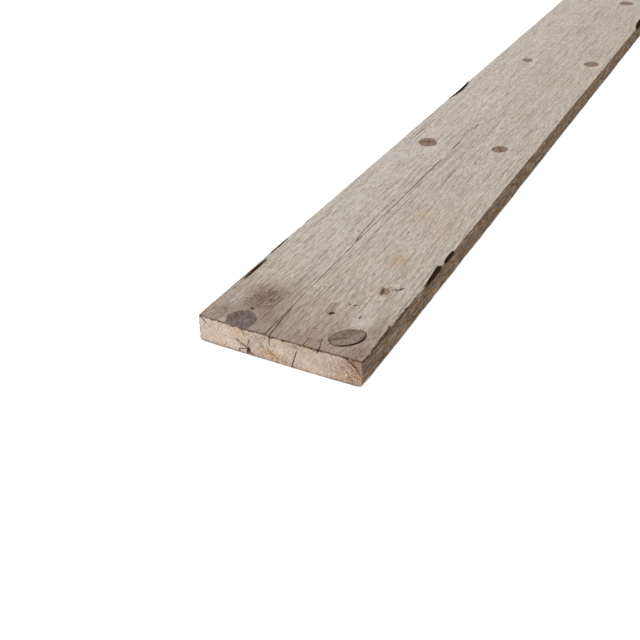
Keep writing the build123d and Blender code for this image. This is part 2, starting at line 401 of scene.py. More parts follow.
def edge_dip(x, y):
    """How far the outer underside sags below an even cup, in gentle waves along the plank."""
    side = np.sign(x)
    dip = 1.0 + 0.5 * noise(y / 30.0, side * 2.5, 104) + 0.3 * noise(y / 9.0, side * 4.5, 105)
    from_end = np.minimum(y, LENGTH - y)
    return 1.1 * smooth(60, HALF_WIDTH, np.abs(x)) * smooth(4, 22, from_end) * dip


def wane_lie(y, lie):
    """The depth of one stretch of wane: an even hollow, or one that is deepest just before its far end."""
    at, half_length, depth, blunt = lie
    share = np.clip((y - at) / half_length, -1, 1)
    even = 1 - share**2
    skewed = unit(0.5 + 0.5 * share) ** 0.8 * smooth(0.98, 0.78, share)
    return depth * (even + (skewed - even) * blunt)


def wane_depth(y, side):
    """How much of an upper edge is gone, measured from its corner towards the middle of the board."""
    seed = 111 if side > 0 else 121
    worn = 0.45 + 0.35 * wave(y / 23.0, seed) + 0.25 * wave(y / 6.0, seed + 1)
    for wane_side, lie in WANES.values():
        if wane_side == side:
            worn = np.maximum(worn, wane_lie(y, lie))
    return worn


# The mesh of the board


def rounded(centre_x, centre_z, radius, degrees):
    """A rounded edge on the right of the section, as x, z and outward normal."""
    turn = np.radians(degrees)
    out_x, out_z = np.cos(turn), np.sin(turn)
    return centre_x + radius * out_x, centre_z + radius * out_z, out_x, out_z


def profile():
    """The cross-section as x, z, outward normal and zone: 0 top, 1 right, 2 underside, 3 left."""
    inner = HALF_WIDTH - UPPER_ROUND
    low = HALF_WIDTH - LOWER_ROUND
    low_z = underside(np.array([low]))[0] + LOWER_ROUND
    # the spacing is finest where the splits and pits are
    runs = [(-88, 0.5), (-26, 0.8), (-3, 0.4), (18, 0.8), (31, 0.45), (38, 0.8), (52, 0.45), (88, 0.8)]
    x = lines(-inner, *runs, (inner, 0.5))
    top = (x, topside(x), x * 0, x * 0 + 1)
    z = lines(EDGE_TOP - UPPER_ROUND, (CUP + LOWER_ROUND, 1.3))
    right = [
        rounded(inner, EDGE_TOP - UPPER_ROUND, UPPER_ROUND, [67.5, 45, 22.5]),
        (z * 0 + HALF_WIDTH, z, z * 0 + 1, z * 0),
        rounded(low, low_z, LOWER_ROUND, [-15, -30, -45, -60, -75]),
    ]
    x = lines(low, (-low, 3.0))
    bottom = (x, underside(x), x * 0, x * 0 - 1)
    left = [(-px[::-1], pz[::-1], -nx[::-1], nz[::-1]) for px, pz, nx, nz in right[::-1]]
    parts = [top, *right, bottom, *left]
    columns = [np.concatenate([part[k] for part in parts]) for k in range(4)]
    counts = [len(part[0]) for part in parts]
    return (*columns, np.repeat([0, 1, 1, 1, 2, 3, 3, 3], counts))


def shave(x, z, side, slope, height, depth):
    """Points outside a sloping plane, brought in onto it. The plane faces outwards at this slope, and lies
    this deep inside the corner at this height."""
    out_x, out_z = side * math.cos(slope), math.sin(slope)
    over = np.maximum(out_x * (x - side * HALF_WIDTH) + out_z * (z - height) + depth, 0)
    return x - out_x * over, z - out_z * over


def skin(steps, x0, z0, nx, nz, zone):
    """The board's skin with its relief: a row for each step along it, a column for each point round it."""
    y = steps[:, None] + x0[None, :] * 0
    x = np.broadcast_to(x0, y.shape)
    z = np.broadcast_to(z0, y.shape)
    of_zone = top_relief(x, y), side_relief(z, y, 1), bottom_relief(x, y)
    relief = np.choose(zone, (*of_zone, side_relief(z, y, -1)))
    x = x + nx * relief
    z = z + nz * relief
    # the whole lower edge hangs by its dip, and nothing above half the thickness does
    z = z - edge_dip(x, y) * smooth(THICKNESS / 2, CUP, z)
    for side in (1, -1):
        x, z = shave(x, z, side, WANE_SLOPE, EDGE_TOP, wane_depth(y, side))
        foot = CUP - edge_dip(side * HALF_WIDTH + 0 * y, y)
        for slope in np.radians([20, 45, 70]):
            worn = lower_wear(y) * (math.cos(slope) + math.sin(slope) - 1)
            x, z = shave(x, z, side, -slope, foot, worn)
    depth = (split_depth(x, y) + pit_depth(x, y)) * (zone == 0)
    return x, y, z, depth


def end_relief(x, z, seed):
    """A circular saw's faint tracks across an end."""
    tracks = 0.05 * np.sin(2 * math.pi * (x + 0.25 * z) / 2.3) + 0.07 * noise(x / 2.0, z / 2.0, seed)
    return 0.25 + tracks


def crack_points(path, width, depth):
    """The middle and the two lips of a crack on an end, as (x, z, depth) rows."""
    path = np.array(path, float)
    step = np.hypot(*np.diff(path, axis=0).T)
    along = np.concatenate([[0], np.cumsum(step)])
    count = max(4, int(along[-1] / 0.9))
    t = np.linspace(0, along[-1], count)
    x = np.interp(t, along, path[:, 0]) + 0.25 * wave(t / 2.2, 131)
    z = np.interp(t, along, path[:, 1]) + 0.25 * wave(t / 2.2, 132, 1.5)
    tangent = np.stack([np.gradient(x), np.gradient(z)], 1)
    tangent /= np.linalg.norm(tangent, axis=1)[:, None]
    taper = np.sin(np.linspace(0.35, 0.92, count) * math.pi) ** 0.7
    half = width / 2 * taper * (1 + 0.3 * wave(t / 1.5, 133, 2.5))
    middle = np.stack([x, z, 0 * t], 1)
    sideways = np.stack([-tangent[:, 1] * half, tangent[:, 0] * half, 0 * t], 1)
    bottom = np.stack([0 * t, 0 * t, depth * taper], 1)
    return middle + bottom, middle + sideways, middle - sideways


def end_grid(loop, cracks, spacing, seed):
    """Scattered points inside the outline of an end, clear of its rim and of its cracks."""
    count_x, count_z = int(WIDTH / spacing), int(EDGE_TOP / spacing)
    column, row = np.meshgrid(np.arange(count_x), np.arange(count_z))
    x = np.linspace(-HALF_WIDTH, HALF_WIDTH, count_x)[column] + 0.3 * spacing * lattice(column, row, seed)
    z = np.linspace(0, EDGE_TOP, count_z)[row]
    x, z = x.ravel(), z.ravel()
    keep = (z > underside(x) + 0.7 * spacing) & (z < topside(x) - 1.1) & (np.abs(x) < HALF_WIDTH - 2.2)
    corner = np.hypot(np.maximum(np.abs(x) - HALF_WIDTH + 6, 0), np.maximum(CUP + 6 - z, 0))
    keep &= corner < LOWER_ROUND + 2.4
    for path, width, _ in cracks:
        keep &= distance_to(x, z, path) > width / 2 + 0.45
    # the outline dips into the splits, and no point may lie on it
    for loop_x, loop_z in zip(*loop):
        keep &= np.hypot(x - loop_x, z - loop_z) >= 0.5 * spacing
    return np.stack([x, z, x * 0], 1)[keep]


def cap(loop, cracks, spacing, seed):
    """A triangulated end: x and z of its points, their depth, their number on its outline, and triangles."""
    rim = len(loop[0])
    rows = [np.stack([*loop, loop[0] * 0], 1)]
    edges = [(k, (k + 1) % rim) for k in range(rim)]
    count = rim
    for crack in cracks:
        for row in crack_points(*crack):
            edges += [(k, k + 1) for k in range(count, count + len(row) - 1)]
            rows.append(row)
            count += len(row)
    rows.append(end_grid(loop, cracks, spacing, seed))
    points = np.concatenate(rows)
    flat = [Vector(point) for point in points[:, :2]]
    out, _, faces, origin, _, _ = geometry.delaunay_2d_cdt(flat, edges, [list(range(rim))], 1, 1e-5)
    depth = np.array([points[ids[0], 2] if ids else 0.0 for ids in origin])
    on_rim = [next((k for k in ids if k < rim), -1) for ids in origin]
    return np.array([(p.x, p.y) for p in out]), depth, on_rim, faces


class Patchwork:
    """Points and faces gathered from several grids, with a depth at each point."""

    def __init__(self):
        self.points, self.depths, self.faces = [], [], []
        self.count = 0

    def add(self, x, y, z, depth):
        """Adds points, and gives their numbers back in the same shape."""
        self.points.append(np.stack([x.ravel(), y.ravel(), z.ravel()], 1))
        self.depths.append(depth.ravel())
        self.count += x.size
        return self.count - x.size + np.arange(x.size).reshape(x.shape)

    def wrap(self, ids):
        """Quads all the way round rows of points."""
        ahead = np.roll(ids, -1, axis=1)
        self.faces += np.stack([ids[:-1], ids[1:], ahead[1:], ahead[:-1]], -1).reshape(-1, 4).tolist()

    def bridge(self, fine, coarse, kept):
        """Joins a fine ring of points to a coarse one that has only the kept columns."""
        columns = len(fine)
        for k, start in enumerate(kept):
            stop = kept[k + 1] if k + 1 < len(kept) else columns
            across = [fine[j % columns] for j in range(stop, start - 1, -1)]
            self.faces.append([int(i) for i in (*across, coarse[k], coarse[(k + 1) % len(kept)])])

    def close(self, ids, loop, end, toward, cracks, spacing, seed):
        """Closes a ring of points with an end's sawn and cracked face."""
        xz, depth, on_rim, triangles = cap(loop, cracks, spacing, seed)
        y = end + toward * (end_relief(*xz.T, seed) + depth)
        on_rim = np.array(on_rim)
        inner = on_rim < 0
        number = ids[on_rim]
        number[inner] = self.add(xz[inner, 0], y[inner], xz[inner, 1], depth[inner])
        self.faces += [[int(number[k]) for k in triangle][::toward] for triangle in triangles]


def board_mesh():
    """The whole board as one closed mesh, fine near the near end and coarser beyond."""
    section = profile()
    near = lines(0.0, (6, 0.6), (100, 1.1), (400, 2.8))
    far = lines(408.0, (LENGTH - 10, 9.0), (LENGTH, 2.5))
    every = np.arange(len(section[0]))
    kept = every[::3]
    mesh = Patchwork()
    grids, ends = [], []
    for steps, columns, row, toward, seed in ((near, every, 0, 1, 141), (far, kept, -1, -1, 142)):
        x, y, z, depth = skin(steps, *[values[columns] for values in section])
        y[row] += toward * end_relief(x[row], z[row], seed)
        grids.append(mesh.add(x, y, z, depth))
        ends.append((grids[-1][row], (x[row], z[row])))
    for ids in grids:
        mesh.wrap(ids)
    mesh.bridge(grids[0][-1], grids[1][0], kept)
    mesh.close(*ends[0], 0.0, 1, END_CRACKS, 0.95, 141)
    mesh.close(*ends[1], LENGTH, -1, [], 3.0, 142)
    return np.concatenate(mesh.points), mesh.faces, np.concatenate(mesh.depths)


# Objects, and the values that their materials read


def to_frame(x, y, z):
    """Points in the row frame, in metres."""
    return np.stack([x * MM, (y - LENGTH / 2) * MM, z * MM], axis=-1)


def add_object(name, data):
    obj = bpy.data.objects.new(name, data)
    bpy.context.scene.collection.objects.link(obj)
    return obj


def make_object(name, verts, faces):
    """A mesh object, facing outwards, from points in millimetres."""
    mesh = bpy.data.meshes.new(name)
    mesh.from_pydata(to_frame(*verts.T).tolist(), [], faces)
    bm = bmesh.new()
    bm.from_mesh(mesh)
    bmesh.ops.recalc_face_normals(bm, faces=bm.faces)
    bm.to_mesh(mesh)
    bm.free()
    return add_object(name, mesh)


def positions(obj):
    """An object's points as x, y and z, in millimetres."""
    co = np.zeros(len(obj.data.vertices) * 3)
    obj.data.vertices.foreach_get("co", co)
    co = co.reshape(-1, 3) / MM
    co[:, 1] += LENGTH / 2
    return co.T


def store(obj, **values):
    """A value for each point, which the material reads back by name."""
    for name, value in values.items():
        layer = obj.data.attributes.new(name, "FLOAT", "POINT")
        each = np.broadcast_to(value, len(obj.data.vertices))
        layer.data.foreach_set("value", np.ascontiguousarray(each, dtype=np.float32))


def soften(obj, degrees=38):
    obj.data.shade_smooth()
    obj.data.set_sharp_from_angle(angle=math.radians(degrees))


def carve(obj, cutters, operation):
    """Takes the cutters out of an object's mesh, or keeps only what is inside them."""
    verts, faces = [], []
    for points, polygons in cutters:
        first = sum(len(v) for v in verts)
        verts.append(points)
        faces += [[k + first for k in polygon] for polygon in polygons]
    tool = make_object("sockets", np.concatenate(verts), faces)
    modifier = obj.modifiers.new("sockets", "BOOLEAN")
    modifier.operation = operation
    modifier.solver = "EXACT"
    modifier.object = tool
    result = bpy.data.meshes.new_from_object(obj.evaluated_get(bpy.context.evaluated_depsgraph_get()))
    obj.modifiers.clear()
    old = obj.data
    obj.data = result
    bpy.data.meshes.remove(old)
    bpy.data.objects.remove(tool)


class WholeBoard:
    """The board before its sockets are cut, and how deep in a split or pit each place on it is."""

    def __init__(self):
        self.verts, self.faces, self.depth = board_mesh()
        self.tree = kdtree.KDTree(len(self.verts))
        for index, point in enumerate(to_frame(*self.verts.T)):
            self.tree.insert(point, index)
        self.tree.balance()

    def carved(self, name, cutters, operation):
        obj = make_object(name, self.verts, self.faces)
        carve(obj, cutters, operation)
        return obj

    def depth_share(self, obj):
        """How deep each point of a carved piece is, from the nearest point of the whole board."""
        return smooth(0.2, 1.3, self.depth[[self.tree.find(v.co)[1] for v in obj.data.vertices]])


# The shapes of the knots


def hash_name(name):
    return 200 + sum(ord(c) for c in name) % 97


def knot_at(name, height):
    """A knot's middle at a height, as x and y, and its radius there."""
    knot = KNOTS[name]
    down = (EDGE_TOP - height) / (EDGE_TOP - knot.foot)
    radius = knot.top_radius + (knot.foot_radius - knot.top_radius) * down
    return knot.x + knot.lean_x * down, knot.y + knot.lean_y * down, radius


def outline(name, angles, height, extra, shift=(0.0, 0.0)):
    """x and y of a knot's wobbling outline at a height, extra millimetres outside its radius."""
    seed = hash_name(name)
    u, v = np.cos(angles), np.sin(angles)
    wobble = 0.040 * noise(2.2 * u + 7, 2.2 * v + 7, seed) + 0.016 * noise(6 * u + 3, 6 * v + 3, seed + 1)
    knot = KNOTS[name]
    x, y, radius = knot_at(name, height)
    radius = max(radius, 0.2) * (1 + wobble) * 0.985
    across, along = turned((radius + extra) * u, (radius * knot.oval + extra) * v, -knot.turn)
    return x + shift[0] + across, y + shift[1] + along


def closed_tube(rows):
    """Quads over rings of points, with one flat face over each end."""
    count = len(rows[0])
    faces = []
    for r in range(len(rows) - 1):
        a = r * count + np.arange(count)
        b = a + count
        faces += np.stack([a, np.roll(a, -1), np.roll(b, -1), b], 1).tolist()
    faces.append(list(range(count))[::-1])
    faces.append([(len(rows) - 1) * count + k for k in range(count)])
    return np.concatenate(rows), faces


def tube_rings(name, angles, heights, extra, shift=(0.0, 0.0)):
    """Level rings of points round a knot, one for each height."""
    rows = []
    for height in heights:
        x, y = outline(name, angles, height, extra, shift)
        rows.append(np.stack([x, y, x * 0 + height], 1))
    return rows


def socket(name, gap):
    """The cutter for a knot's socket, which is wider than the knot by a gap."""
    angles = np.linspace(0, 2 * math.pi, 96, endpoint=False)
    bottom = KNOTS[name].foot or -4.0
    return closed_tube(tube_rings(name, angles, np.linspace(bottom, EDGE_TOP + 4, 5), gap))


def shift_of(name):
    return LOOSE_SHIFT if name == LOOSE_KNOT else (0.0, 0.0)


def knot_face(name, angles, shares, height, surface, hollow):
    """Rings of points across a knot's face, which is rough, and worn away round its rim."""
    rim_x, rim_y = outline(name, angles, height, -KNOT_INSET, shift_of(name))
    open_x, open_y = turned(*CRESCENT, KNOTS[name].turn)
    open_share = smooth(0.25, 0.85, np.cos(angles) * open_x + np.sin(angles) * open_y)
    worn_side = 1.3 * open_share * (name == LOOSE_KNOT)
    rows = []
    for share in shares:
        x = rim_x.mean() + (rim_x - rim_x.mean()) * share
        y = rim_y.mean() + (rim_y - rim_y.mean()) * share
        rough = 0.12 + 0.10 * noise(x / 2.0, y / 2.0, hash_name(name))
        drop = rough + 0.30 * share**6 + worn_side * share**14
        rows.append(np.stack([x, y, surface(x) - hollow * drop], 1))
    return rows


def knot_mesh(name, points_round, rings_across):
    """A knot as a closed mesh: a rough top, a tapered side and a rough foot."""
    angles = np.linspace(0, 2 * math.pi, points_round, endpoint=False)
    shares = np.linspace(0, 1, rings_across + 1)[1:] ** 0.8
    low, high = 0.4, EDGE_TOP - 1.2
    levels = low + (high - low) * np.array([0.97, 0.8, 0.5, 0.2, 0.03])
    rows = knot_face(name, angles, shares, high, topside, 1.0)
    rows += tube_rings(name, angles, levels, -KNOT_INSET, shift_of(name))
    rows += knot_face(name, angles, shares[::-1], low, underside, -1.0)
    return closed_tube(rows)


# Materials


def srgb(r, g, b):
    """A colour given as 0 to 255 screen values, as the linear values that shaders use."""
    out = []
    for c in (r, g, b):
        c = c / 255
        out.append(c / 12.92 if c <= 0.04045 else ((c + 0.055) / 1.055) ** 2.4)
    return (*out, 1.0)


TOP_LIGHT = srgb(169, 158, 147)
TOP_DARK = srgb(147, 136, 125)
TOP_PALE = srgb(190, 180, 170)
TOP_COOL = srgb(162, 153, 147)
TOP_TAN = srgb(164, 148, 131)
TOP_NEAR = srgb(134, 117, 105)
TOP_WHITE = srgb(182, 175, 170)
TOP_WARM = srgb(172, 140, 110)
TOP_LINE = srgb(106, 91, 78)
DARK_MARK_AND_SHADE = srgb(50, 36, 27)
STAIN = srgb(110, 89, 74)
# Painted shade, with some dirt, for the deep parts of splits, pits and cracks and the walls round the knots
CRACK = srgb(44, 27, 17)
END_LIGHT = srgb(187, 172, 159)
END_PINK = srgb(177, 157, 143)
END_PALE = srgb(196, 184, 172)
END_WHITE = srgb(204, 190, 176)
END_LINE = srgb(148, 122, 102)
END_DARK = srgb(142, 122, 106)
END_YELLOW = srgb(210, 172, 122)
END_OLIVE = srgb(168, 146, 112)
END_BROWN = srgb(98, 72, 53)
END_RED = srgb(134, 102, 86)
GRIME = srgb(70, 44, 30)
# The side's tones: its dark, dirty wood, darkened further with painted shade as if the side lay out of the
# light
SIDE_DARK = srgb(82, 69, 56)
SIDE_LIGHT = srgb(116, 100, 84)
SIDE_BROWN = srgb(96, 76, 60)
SIDE_BLACK = srgb(44, 34, 26)
SIDE_GREY = srgb(146, 128, 111)
WANE = srgb(42, 31, 22)
KNOT_DARK = srgb(80, 67, 60)
KNOT_LIGHT = srgb(118, 105, 98)
KNOT_PALE = srgb(136, 124, 118)
KNOT_BLUE = srgb(90, 84, 90)
KNOT_BROWN = srgb(132, 110, 94)
KNOT_RING = srgb(66, 53, 47)
KNOT_RIM = srgb(44, 34, 28)
KNOT_FRESH = srgb(180, 160, 140)
BARK_DARK = srgb(24, 15, 9)
BARK_LIGHT = srgb(50, 36, 25)
BARK_GREY = srgb(60, 46, 34)
FLOOR_WHITE = (0.92, 0.92, 0.92, 1.0)


class Graph:
    """Short ways to add and join the nodes of one material."""

    def __init__(self, name):
        self.material = bpy.data.materials.new(name)
        self.material.use_nodes = True
        self.tree = self.material.node_tree
        self.tree.nodes.clear()
        output = self.add("OutputMaterial")
        self.shader = self.add("BsdfPrincipled")
        self.tree.links.new(self.shader.outputs[0], output.inputs[0])

    def add(self, kind, inputs=(), **settings):
        """A new node, with values or other nodes' outputs put into its inputs by name or number."""
        node = self.tree.nodes.new("ShaderNode" + kind)
        for name, value in settings.items():
            setattr(node, name, value)
        for name, value in dict(inputs).items():
            self.put(node.inputs[name], value)
        return node

    def put(self, socket, value):
        if isinstance(value, bpy.types.NodeSocket):
            self.tree.links.new(value, socket)
        else:
            socket.default_value = value

    def math(self, operation, *values):
        return self.add("Math", enumerate(values), operation=operation).outputs[0]

    def remap(self, value, low, high, to_low=0.0, to_high=1.0):
        values = enumerate((value, low, high, to_low, to_high))
        return self.add("MapRange", values, interpolation_type="SMOOTHSTEP").outputs[0]

    def mix(self, factor, a, b):
        return self.add("Mix", {0: factor, 6: a, 7: b}, data_type="RGBA").outputs[2]

    def attribute(self, name):
        return self.add("Attribute", attribute_name=name).outputs["Fac"]

    def point(self):
        return self.add("TexCoord").outputs["Object"]

    def noise_at(self, vector, detail, roughness, distortion=0.0):
        names = ("Vector", "Scale", "Detail", "Roughness", "Distortion")
        values = (vector, 1.0, detail, roughness, distortion)
        return self.add("TexNoise", zip(names, values)).outputs["Fac"]

    def noise(self, fineness, detail=3.0, roughness=0.55, distortion=0.0):
        """Noise with about this many marks in a metre along x, y and z."""
        vector = self.add("Mapping", {"Vector": self.point(), "Scale": fineness}).outputs[0]
        return self.noise_at(vector, detail, roughness, distortion)

    def saw_marks(self, degrees, long, short):
        """Marks that lean in the end's own plane, each long by short, in metres."""
        turn = (0.0, -math.radians(degrees), 0.0)
        inputs = {"Vector": self.point(), "Scale": (long, 0.02, short), "Rotation": turn}
        vector = self.add("Mapping", inputs, vector_type="TEXTURE").outputs[0]
        return self.noise_at(vector, 2.0, 0.6)

    def layers(self, colour, *rows):
        """Colours laid over one another: how strongly, by which pattern, from and to which of its values."""
        for strength, pattern, start, full, above in rows:
            share = self.math("MULTIPLY", self.remap(pattern, start, full), strength)
            colour = self.mix(share, colour, above)
        return colour

    def paint(self, colour, **above):
        """Colours laid where the stored values of those names say so."""
        for name, paint in above.items():
            colour = self.mix(self.attribute(name), colour, paint)
        return colour

    def facing(self, axis, start, full):
        """One where the surface faces along an axis, either way."""
        normal = self.add("NewGeometry").outputs["True Normal"]
        part = self.add("SeparateXYZ", {0: normal}).outputs[axis]
        return self.remap(self.math("ABSOLUTE", part), start, full)

    def bump(self, height, strength, distance):
        node = self.add("Bump", {"Strength": strength, "Distance": distance, "Height": height})
        self.put(self.shader.inputs["Normal"], node.outputs[0])

    def finish(self, colour, roughness):
        """The finished material. It has no sheen, which would turn its dark places blue."""
        self.put(self.shader.inputs["Base Color"], colour)
        self.put(self.shader.inputs["Roughness"], roughness)
        self.put(self.shader.inputs["Specular IOR Level"], 0.0)
        return self.material


def weathered_top(g, fibre, fleck, thread, grit):
    patch = g.noise((30, 14, 30))
    tint = g.noise((60, 24, 60))
    ring = g.math("MULTIPLY_ADD", g.noise((60, 14, 60), 2.0), 2.4, g.attribute("ring"))
    ring_line = g.remap(g.math("PINGPONG", ring, 1.9), 1.15, 1.85)
    broken = g.math("MULTIPLY", g.remap(g.noise((120, 40, 120), 2.0), 0.42, 0.62), 0.32)
    colour = g.mix(g.remap(fibre, 0.36, 0.66), TOP_DARK, TOP_LIGHT)
    colour = g.layers(colour, (0.45, patch, 0.46, 0.70, TOP_COOL), (0.45, tint, 0.50, 0.72, TOP_TAN))
    colour = g.mix(g.math("MULTIPLY", ring_line, broken), colour, TOP_LINE)
    colour = g.layers(colour, (0.60, fleck, 0.49, 0.36, TOP_PALE))
    colour = g.paint(colour, near=TOP_NEAR, bleach=TOP_WHITE, warm=TOP_WARM, stain=STAIN)
    colour = g.layers(
        colour,
        (0.70, thread, 0.55, 0.68, TOP_LINE),
        (0.62, fleck, 0.51, 0.66, TOP_LINE),
        (0.62, grit, 0.55, 0.72, TOP_LINE),
    )
    # dark marks, with painted shade over the pits and splits
    return g.paint(colour, dark=DARK_MARK_AND_SHADE)


def sawn_end(g):
    saw = g.saw_marks(62, 0.0055, 0.0010)
    cross_saw = g.saw_marks(-38, 0.006, 0.0010)
    late_wood = g.math("PINGPONG", g.attribute("ring"), 1.35)
    tint = g.noise((45, 40, 90), 3.0, 0.6)
    grit = g.noise((620, 60, 620), 3.0, 0.62)
    coarse = g.attribute("coarse")
    colour = g.mix(g.remap(tint, 0.35, 0.70), END_LIGHT, END_PINK)
    colour = g.paint(colour, clean=END_WHITE, heart=END_RED, resin=END_YELLOW, olive=END_OLIVE)
    colour = g.layers(
        colour,
        (0.42, late_wood, 0.55, 1.2, END_LINE),
        (0.62, saw, 0.52, 0.66, END_DARK),
        (0.50, saw, 0.47, 0.34, END_PALE),
        (coarse, cross_saw, 0.50, 0.62, END_BROWN),
        (coarse, grit, 0.51, 0.62, END_BROWN),
        (0.50, grit, 0.54, 0.68, END_DARK),
    )
    return g.paint(colour, grime=GRIME)


# the side's own dark wood with painted shade on top: its colours are darker than the wood, for a side out of
# the light
def rough_side_and_shade(g):
    blotch = g.noise((150, 40, 150), 4.0, 0.65)
    rub = g.noise((330, 42, 330), 3.0, 0.6)
    specks = g.noise((820, 130, 820), 3.0, 0.66)
    chafed = g.noise((520, 46, 520), 3.0, 0.62)
    return g.layers(
        g.mix(g.remap(rub, 0.34, 0.66), SIDE_DARK, SIDE_LIGHT),
        (0.60, blotch, 0.46, 0.62, SIDE_BROWN),
        (0.85, chafed, 0.50, 0.64, SIDE_GREY),
        (0.85, specks, 0.53, 0.66, SIDE_BLACK),
    )


def pine():
    g = Graph("weathered_pine")
    fibre = g.noise((520, 22, 520), 3.0, 0.62, 0.3)
    fleck = g.noise((1150, 90, 1150), 3.0, 0.62)
    thread = g.noise((900, 11, 900), 2.0)
    grit = g.noise((900, 900, 900), 3.0, 0.65)
    is_side = g.math("MULTIPLY", g.facing("X", 0.45, 0.80), g.attribute("edge"))
    colour = g.mix(is_side, weathered_top(g, fibre, fleck, thread, grit), rough_side_and_shade(g))
    colour = g.paint(colour, wane=WANE)
    colour = g.mix(g.facing("Y", 0.45, 0.62), colour, sawn_end(g))
    # painted shade and dirt, by how deep each split, pit, crack and socket wall lies
    colour = g.paint(colour, depth=CRACK)
    height = g.math("MULTIPLY_ADD", fleck, -0.6, g.math("MULTIPLY", grit, -0.5))
    height = g.math("MULTIPLY_ADD", g.remap(thread, 0.58, 0.70), -0.4, height)
    g.bump(g.math("MULTIPLY_ADD", fibre, 0.6, height), 0.6, 0.0007)
    return g.finish(colour, g.remap(fleck, 0.3, 0.8, 0.80, 0.95))


def knot_wood():
    g = Graph("dead_knot")
    grain = g.noise((190, 190, 190), 4.0, 0.62)
    streak = g.noise((520, 170, 300), 3.0, 0.6)
    fine = g.noise((1300, 1300, 1300), 3.0, 0.6)
    saw = g.saw_marks(62, 0.0055, 0.0010)
    ring = g.math("MULTIPLY_ADD", g.noise((130, 130, 130), 2.0), 0.22, g.attribute("radial"))
    wood = g.mix(g.remap(grain, 0.32, 0.70), KNOT_DARK, KNOT_LIGHT)
    wood = g.paint(wood, light=KNOT_PALE, cool=KNOT_BLUE, brown=KNOT_BROWN, sound=TOP_WARM)
    wood = g.layers(
        wood,
        (0.30, g.math("PINGPONG", ring, 0.062), 0.012, 0.055, KNOT_RING),
        (0.45, streak, 0.53, 0.68, KNOT_RING),
        (0.35, streak, 0.46, 0.34, KNOT_PALE),
        (0.35, fine, 0.55, 0.75, KNOT_RING),
    )
    # painted shade and dirt in the knots' cracks and down their sides in the sockets
    wood = g.paint(wood, rim=KNOT_RIM, depth=CRACK)
    sawn = g.layers(
        g.mix(g.remap(grain, 0.3, 0.7), KNOT_FRESH, END_PINK),
        (0.35, streak, 0.45, 0.6, END_OLIVE),
        (0.62, saw, 0.52, 0.66, END_LINE),
        (0.50, saw, 0.46, 0.32, END_PALE),
    )
    is_sawn = g.math("MULTIPLY", g.facing("Y", 0.70, 0.85), g.attribute("fresh"))
    colour = g.mix(is_sawn, wood, g.paint(sawn, grime=GRIME))
    g.bump(g.math("MULTIPLY_ADD", fine, 0.5, g.math("MULTIPLY", streak, -0.8)), 0.5, 0.0005)
    return g.finish(colour, g.remap(grain, 0.3, 0.7, 0.72, 0.9))


def bark():
    g = Graph("bark")
    flake = g.noise((420, 130, 420), 4.0, 0.7, 0.6)
    fine = g.noise((1800, 1800, 1800), 3.0, 0.65)
    colour = g.mix(g.remap(flake, 0.40, 0.66), BARK_DARK, BARK_LIGHT)
    colour = g.layers(colour, (0.5, fine, 0.52, 0.72, BARK_GREY))
    g.bump(g.math("MULTIPLY_ADD", fine, 0.4, flake), 0.8, 0.0008)
    return g.finish(colour, g.remap(flake, 0.3, 0.7, 0.82, 0.97))


# Where the tones lie


def broken_rim(x):
    """How dark the torn rim between the top face and the near end is along it."""
    return smooth(-0.7, 0.4, wave(x / 1.7, 160) + 0.7 * wave(x / 7.0, 161, 4.5))


def turned_grain(x, y):
    """Dark arcs and strokes where the grain turns round the hidden branch."""
    dx = x - SWIRL[0]
    dy = y - SWIRL[1]
    around = np.hypot(dx + 2.5 * wave(y / 7.0, 166), (dy - 24) / 1.45)
    arcs = np.cos(2 * math.pi * (around / 2.9 + 1.1 * noise(x / 8.0, y / 8.0, 156)))
    arcs = smooth(0.0, 0.9, arcs) * smooth(-0.5, 0.4, noise(x / 1.9, y / 2.8, 157))
    heading = np.arctan2(dy + 45, dx + 6)
    fan = smooth(0.15, 0.75, noise(heading * 30, y / 9.0, 167))
    reach = np.minimum(1.3 * blob(dx, dy, 0, -2, 20, 25), 1)
    return np.maximum(0.62 * arcs, 0.52 * fan) * reach


def dark_marks(x, y):
    dark = turned_grain(x, y)
    dark = dark + 0.385 * smooth(0.35, 0.8, noise(x / 1.7, y / 5.0, 158)) * smooth(140, 0, y)
    wander = 0.4 * wave(y / 4.0, 159)
    # the listed lines, many of them painted shade over pits and splits
    for path, half_width, strength in TOP_MARKS:
        dark = np.maximum(dark, strength * path_mask(x + wander, y, path, half_width))
    rim = smooth(2.3 + 1.2 * wave(x / 1.3, 162, 2.5), 0.6, y) * (0.62 + 0.38 * broken_rim(x))
    return np.clip(np.maximum(dark, 0.95 * rim), 0, 0.95)


def top_tones(x, y):
    """How stained, bleached, weathered by an end, warm and darkly marked each point of the top face is."""
    uneven = 0.5 + 0.5 * layered(x / 5.0, y / 5.0, 151)
    stain = 0.92 * blob(x, y, *SWIRL, 21, 27) * (0.45 + 0.55 * uneven)
    stain = stain + 0.42 * blob(x, y, -31, 30, 11, 20) * (0.5 + 0.5 * uneven)
    stain = stain + patches(x, y, STAINS)
    bleach = patches(x, y, BLEACHED) + 0.35 * smooth(90, 260, y)
    bleach = bleach + 0.30 * smooth(20, -60, x) * smooth(70, 150, y)
    for name, knot in KNOTS.items():
        if "whorl" in name:
            share = np.hypot(x - knot.x, (y - knot.y) / knot.oval) / knot.top_radius
            bleach = bleach + 0.5 * np.exp(-(((share - 1.45) / 0.3) ** 2))
            stain = stain + 0.6 * np.exp(-(((share - 1.05) / 0.12) ** 2)) * uneven
    near = smooth(125, 0, y) + 0.7 * smooth(LENGTH - 90, LENGTH, y)
    warm = patches(x, y, WARMED) * (0.5 + 0.5 * uneven)
    return {
        "stain": np.clip(stain, 0, 0.85),
        "bleach": np.clip(bleach * (0.4 + 0.5 * uneven), 0, 0.7),
        "near": near * (0.80 + 0.35 * layered(x / 14.0, y / 30.0, 155)),
        "dark": dark_marks(x, y),
        "warm": warm + 0.4 * blob(x, y, 61, 134, 5, 7),
    }


def end_crack_share(x, z, around):
    """One in the cracks of the near end, falling to nought this far outside their lips."""
    return np.maximum.reduce([path_mask(x, z, path, width / 2 + around) for path, width, _ in END_CRACKS])


